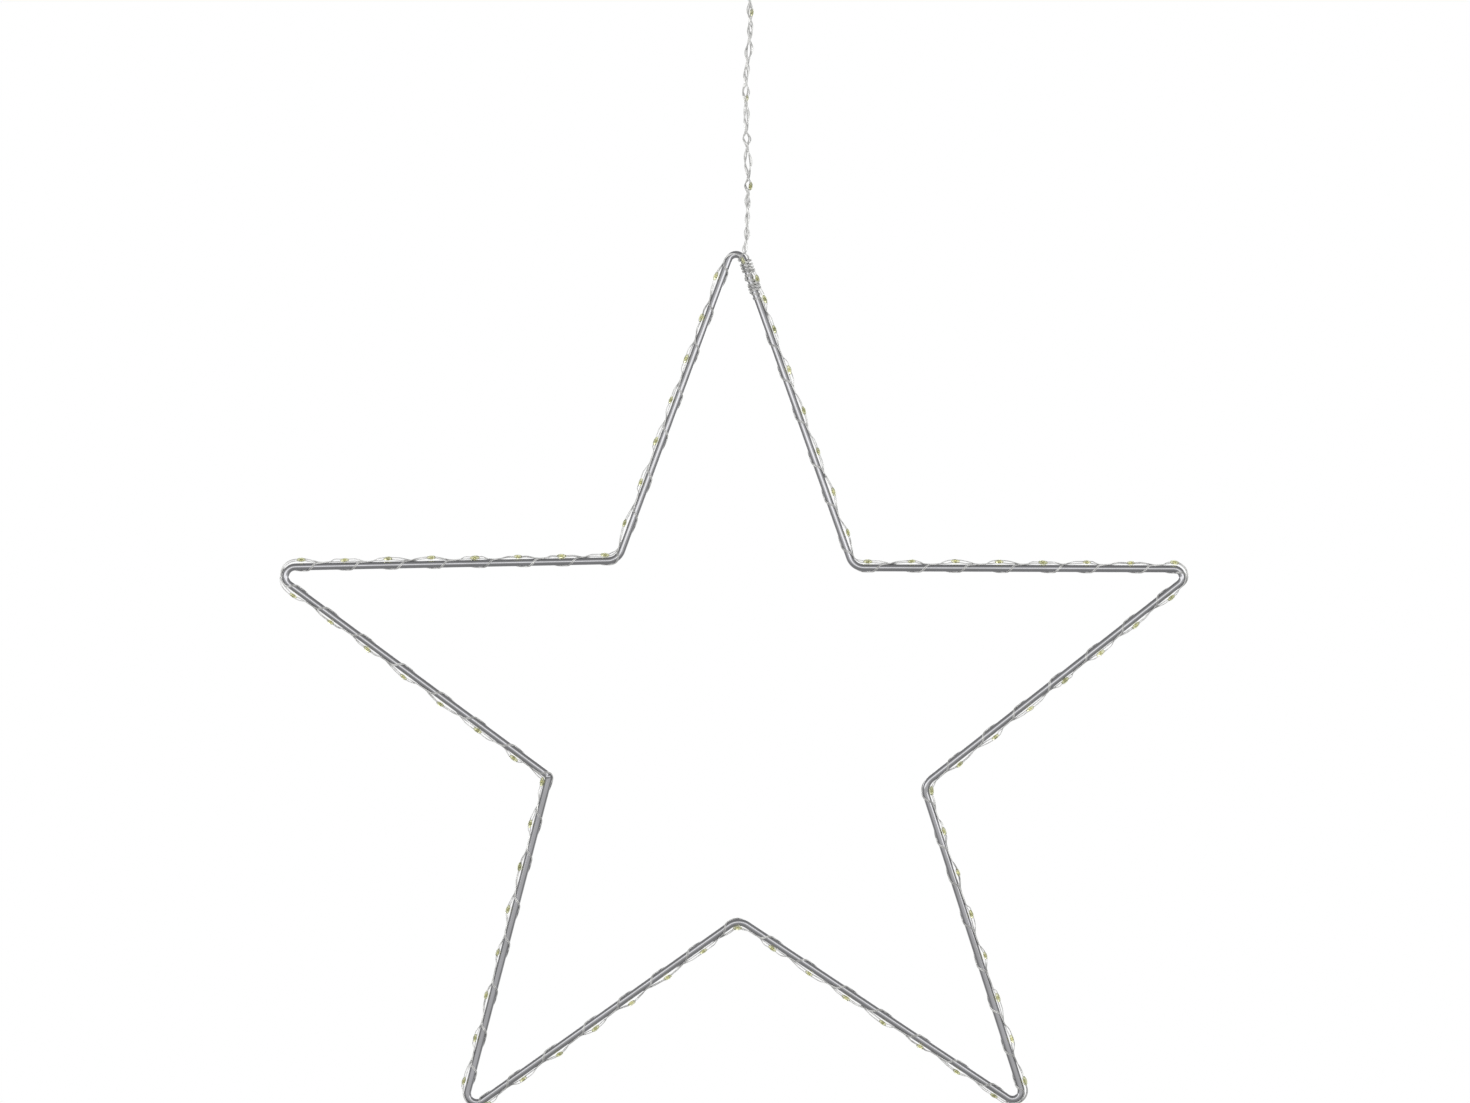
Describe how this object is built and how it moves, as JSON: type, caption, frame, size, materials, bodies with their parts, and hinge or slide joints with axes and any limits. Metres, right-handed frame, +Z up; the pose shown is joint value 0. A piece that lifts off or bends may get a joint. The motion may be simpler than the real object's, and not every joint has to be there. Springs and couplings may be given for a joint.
{
  "type": "led christmas star",
  "caption": "Hanging star of bent round steel rod, wound with a string of tiny wire lights, on a twisted lead from a small battery box with a hanging eye.",
  "frame": {"origin": "middle of the hanging eye's hole on top of the battery box", "axes": "+Z up, out of the eye; the star lies in the XZ plane and is seen from -Y with +X to the right"},
  "size_m": [0.5046, 0.02, 0.71],
  "materials": {
    "rod_steel": "polished plated steel rod",
    "string_wire": "silver lacquered fine wire pair with clear resin drops",
    "lead_wire": "silver lacquered fine wire",
    "box_plastic": "fine matte moulded, white",
    "cover_plastic": "fine matte moulded, white",
    "cell_jacket": "printed sleeve, plain colours",
    "contact_metal": "nickel-plated spring steel",
    "board": "green solder mask",
    "black_plastic": "black moulded",
    "ceramic": "tan lacquer",
    "grommet": "soft white"
  },
  "bodies": {
    "box": {"box_housing": "box_plastic", "battery_cell_1": "cell_jacket", "battery_cell_2": "cell_jacket", "battery_cell_3": "cell_jacket", "plus_contact": "contact_metal", "minus_contact": "contact_metal", "bridge_contact_1": "contact_metal", "bridge_contact_2": "contact_metal", "circuit_board": "board", "board_screw_1": "contact_metal", "board_screw_2": "contact_metal", "timer_chip": "black_plastic", "crystal": "contact_metal", "resistor": "ceramic", "switch_body": "contact_metal", "strain_relief": "grommet", "lead_tail": "lead_wire"},
    "cover": {"battery_cover": "cover_plastic"},
    "switch": {"switch_knob": "black_plastic"},
    "lead": {"lead": "lead_wire"},
    "star": {"star_frame": "rod_steel", "light_string": "string_wire"}
  },
  "joints": [
    {"name": "lead_swing", "type": "hinge", "parent": "box", "child": "lead", "pos_m": [0, 0, -0.0844], "axis": [0, 1, 0], "range_deg": [-25, 25]},
    {"name": "star_twist", "type": "hinge", "parent": "lead", "child": "star", "pos_m": [0, 0, -0.2229], "axis": [0, 0, 1], "range_deg": [-180, 180]},
    {"name": "cover_slide", "type": "slide", "parent": "box", "child": "cover", "axis": [1, 0, 0], "range_m": [0, 0.062]},
    {"name": "switch_slide", "type": "slide", "parent": "box", "child": "switch", "axis": [1, 0, 0], "range_m": [-0.002, 0.002]}
  ]
}
